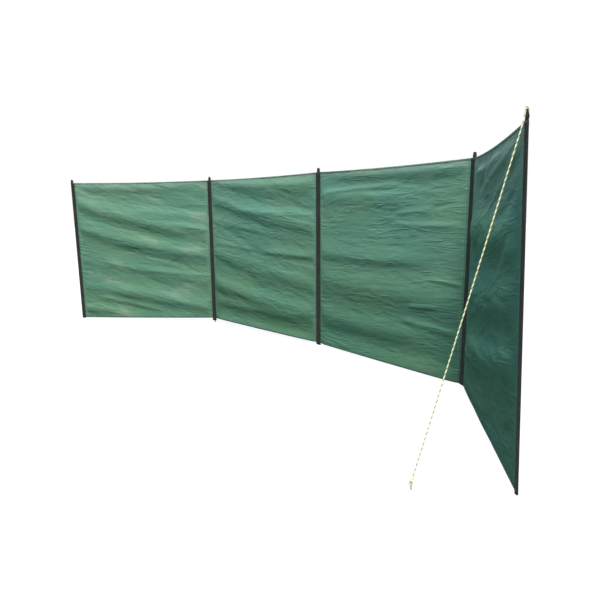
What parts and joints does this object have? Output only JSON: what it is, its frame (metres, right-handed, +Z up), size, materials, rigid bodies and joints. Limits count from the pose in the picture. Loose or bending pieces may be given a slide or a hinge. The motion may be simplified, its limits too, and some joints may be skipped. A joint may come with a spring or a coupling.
{
  "type": "beach windbreak",
  "caption": "Run of green cloth bays on poles in black sleeves, bent round into a wind shelter, with a webbing loop over each pole and a guy rope to a ground peg.",
  "frame": {"origin": "centre of the middle pole's foot, at ground level", "axes": "+Z up; +X along the middle of the run, towards the end that has the guy rope; -Y towards the sheltered side"},
  "size_m": [4.521, 1.2967, 1.2659],
  "materials": {
    "pole": "satin black",
    "sleeve": "black woven tape",
    "webbing": "black webbing",
    "cloth": "thin green woven polyester, softly creased",
    "hem": "dark green folded hem",
    "rope": "pale yellow braided cord with dark flecks",
    "peg": "plain steel wire"
  },
  "bodies": {
    "root": {"pole_1": "pole", "pole_2": "pole", "pole_3": "pole", "pole_4": "pole", "pole_5": "pole", "sleeve_1": "sleeve", "sleeve_2": "sleeve", "sleeve_3": "sleeve", "sleeve_4": "sleeve", "sleeve_5": "sleeve", "top_loop_1": "webbing", "top_loop_2": "webbing", "top_loop_3": "webbing", "top_loop_4": "webbing", "top_loop_5": "webbing", "panel_1": "cloth", "panel_2": "cloth", "panel_3": "cloth", "panel_4": "cloth", "top_hem_1": "hem", "top_hem_2": "hem", "top_hem_3": "hem", "top_hem_4": "hem", "bottom_hem_1": "hem", "bottom_hem_2": "hem", "bottom_hem_3": "hem", "bottom_hem_4": "hem", "guy_rope": "rope", "ground_peg": "peg"}
  },
  "joints": []
}
